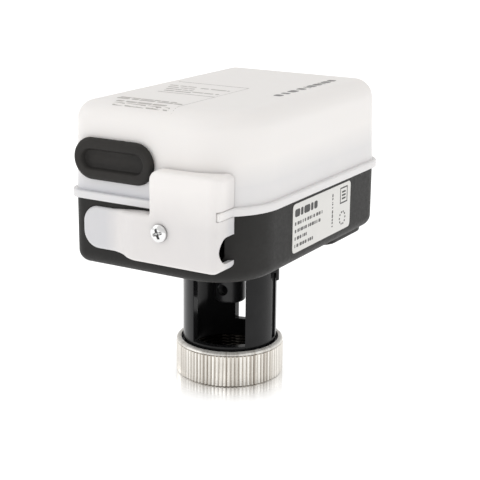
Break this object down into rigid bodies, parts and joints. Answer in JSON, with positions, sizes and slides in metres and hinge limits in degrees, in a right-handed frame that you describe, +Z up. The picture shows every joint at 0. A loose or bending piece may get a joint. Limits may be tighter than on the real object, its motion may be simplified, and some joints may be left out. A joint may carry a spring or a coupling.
{
  "type": "motorized valve actuator",
  "caption": "Electric linear valve actuator: dark base with a milky lid, plug and terminal cover, over a slotted yoke with a sliding stem coupling and a knurled ring nut.",
  "frame": {"origin": "yoke axis at the underside of the ring nut", "axes": "+Z up along the stem, +X towards the rating label side, +Y towards the rear, -Y the front with the plug and the terminal cover"},
  "size_m": [0.0882, 0.142, 0.1323],
  "materials": {
    "base_plastic": "fine moulded texture, matt",
    "lid_plastic": "milky translucent, satin",
    "cover_plastic": "satin",
    "yoke_plastic": "polished",
    "plug_rubber": "matt",
    "gasket_rubber": "matt",
    "label_film": "printed film, semi-gloss",
    "nickel_plate": "bright nickel, knurled",
    "bright_steel": "bright",
    "blackened_steel": "black, satin",
    "zinc_steel": "zinc plated",
    "spring_steel": "dark spring steel",
    "bronze": "machined",
    "brass": "machined",
    "gear_nylon": "satin",
    "copper_winding": "enamelled wire",
    "magnet": "ground ferrite",
    "switch_plastic": "satin",
    "switch_red": "satin",
    "board_green": "solder mask",
    "terminal_green": "satin",
    "relay_case": "moulded",
    "capacitor_can": "sleeved"
  },
  "bodies": {
    "housing": {"base_housing": "base_plastic", "lid_gasket": "gasket_rubber", "lid": "lid_plastic", "lid_screws": "zinc_steel", "rating_label": "label_film", "yoke": "yoke_plastic", "yoke_screws": "zinc_steel", "snap_ring": "spring_steel", "guide_bush": "bronze", "guide_tube": "zinc_steel", "lower_gear_plate": "zinc_steel", "upper_gear_plate": "zinc_steel", "plate_pillars": "zinc_steel", "plate_screws": "zinc_steel", "gear_shafts": "bright_steel", "thrust_washers": "bronze", "motor_can": "zinc_steel", "motor_bearing": "bronze", "motor_stator": "copper_winding", "motor_screws": "zinc_steel", "limit_switches": "switch_plastic", "switch_bracket": "zinc_steel", "circuit_board": "board_green", "board_posts": "brass", "board_screws": "zinc_steel", "terminal_block": "terminal_green", "terminal_screws": "zinc_steel", "cable_clamp": "switch_plastic", "relays": "relay_case", "capacitor": "capacitor_can", "dip_switch": "switch_red"},
    "ring": {"ring_nut": "nickel_plate"},
    "stem": {"stem": "bright_steel", "stem_coupling": "blackened_steel", "guide_pin": "spring_steel"},
    "nut": {"drive_nut_gear": "bronze"},
    "slow": {"slow_gear": "gear_nylon"},
    "fast": {"fast_gear": "gear_nylon"},
    "rotor": {"motor_rotor": "magnet", "motor_pinion": "brass"},
    "cover": {"terminal_cover": "cover_plastic", "terminal_cover_screw": "bright_steel"},
    "plug": {"lid_plug": "plug_rubber"}
  },
  "joints": [
    {"name": "nut_spin", "type": "hinge", "parent": "housing", "child": "nut", "pos_m": [0, 0, 0.078], "axis": [0, 0, 1], "range_deg": [0, 1440]},
    {"name": "stem_travel", "type": "slide", "parent": "housing", "child": "stem", "axis": [0, 0, -1], "range_m": [0, 0.01601]},
    {"name": "slow_gear_spin", "type": "hinge", "parent": "housing", "child": "slow", "pos_m": [0.01331, 0.02855, 0.078], "axis": [0, 0, 1], "range_deg": [-5040, 0]},
    {"name": "fast_gear_spin", "type": "hinge", "parent": "housing", "child": "fast", "pos_m": [0.00211, 0.04795, 0.078], "axis": [0, 0, 1], "range_deg": [0, 15120]},
    {"name": "motor_spin", "type": "hinge", "parent": "housing", "child": "rotor", "pos_m": [-0.01631, 0.04124, 0.095], "axis": [0, 0, 1], "range_deg": [-45360, 0]},
    {"name": "ring_nut_spin", "type": "hinge", "parent": "housing", "child": "ring", "pos_m": [0, 0, 0.008], "axis": [0, 0, 1], "continuous": true},
    {"name": "cover_slide", "type": "slide", "parent": "housing", "child": "cover", "axis": [0, -1, 0], "range_m": [0, 0.03]},
    {"name": "plug_pull", "type": "slide", "parent": "housing", "child": "plug", "axis": [0, -1, 0], "range_m": [0, 0.015]}
  ],
  "couplings": [
    {"joint": "stem_travel", "follows": "nut_spin", "m_per_rad": 0.0006366},
    {"joint": "slow_gear_spin", "follows": "nut_spin", "ratio": -3.5},
    {"joint": "fast_gear_spin", "follows": "nut_spin", "ratio": 10.5},
    {"joint": "motor_spin", "follows": "nut_spin", "ratio": -31.5}
  ]
}
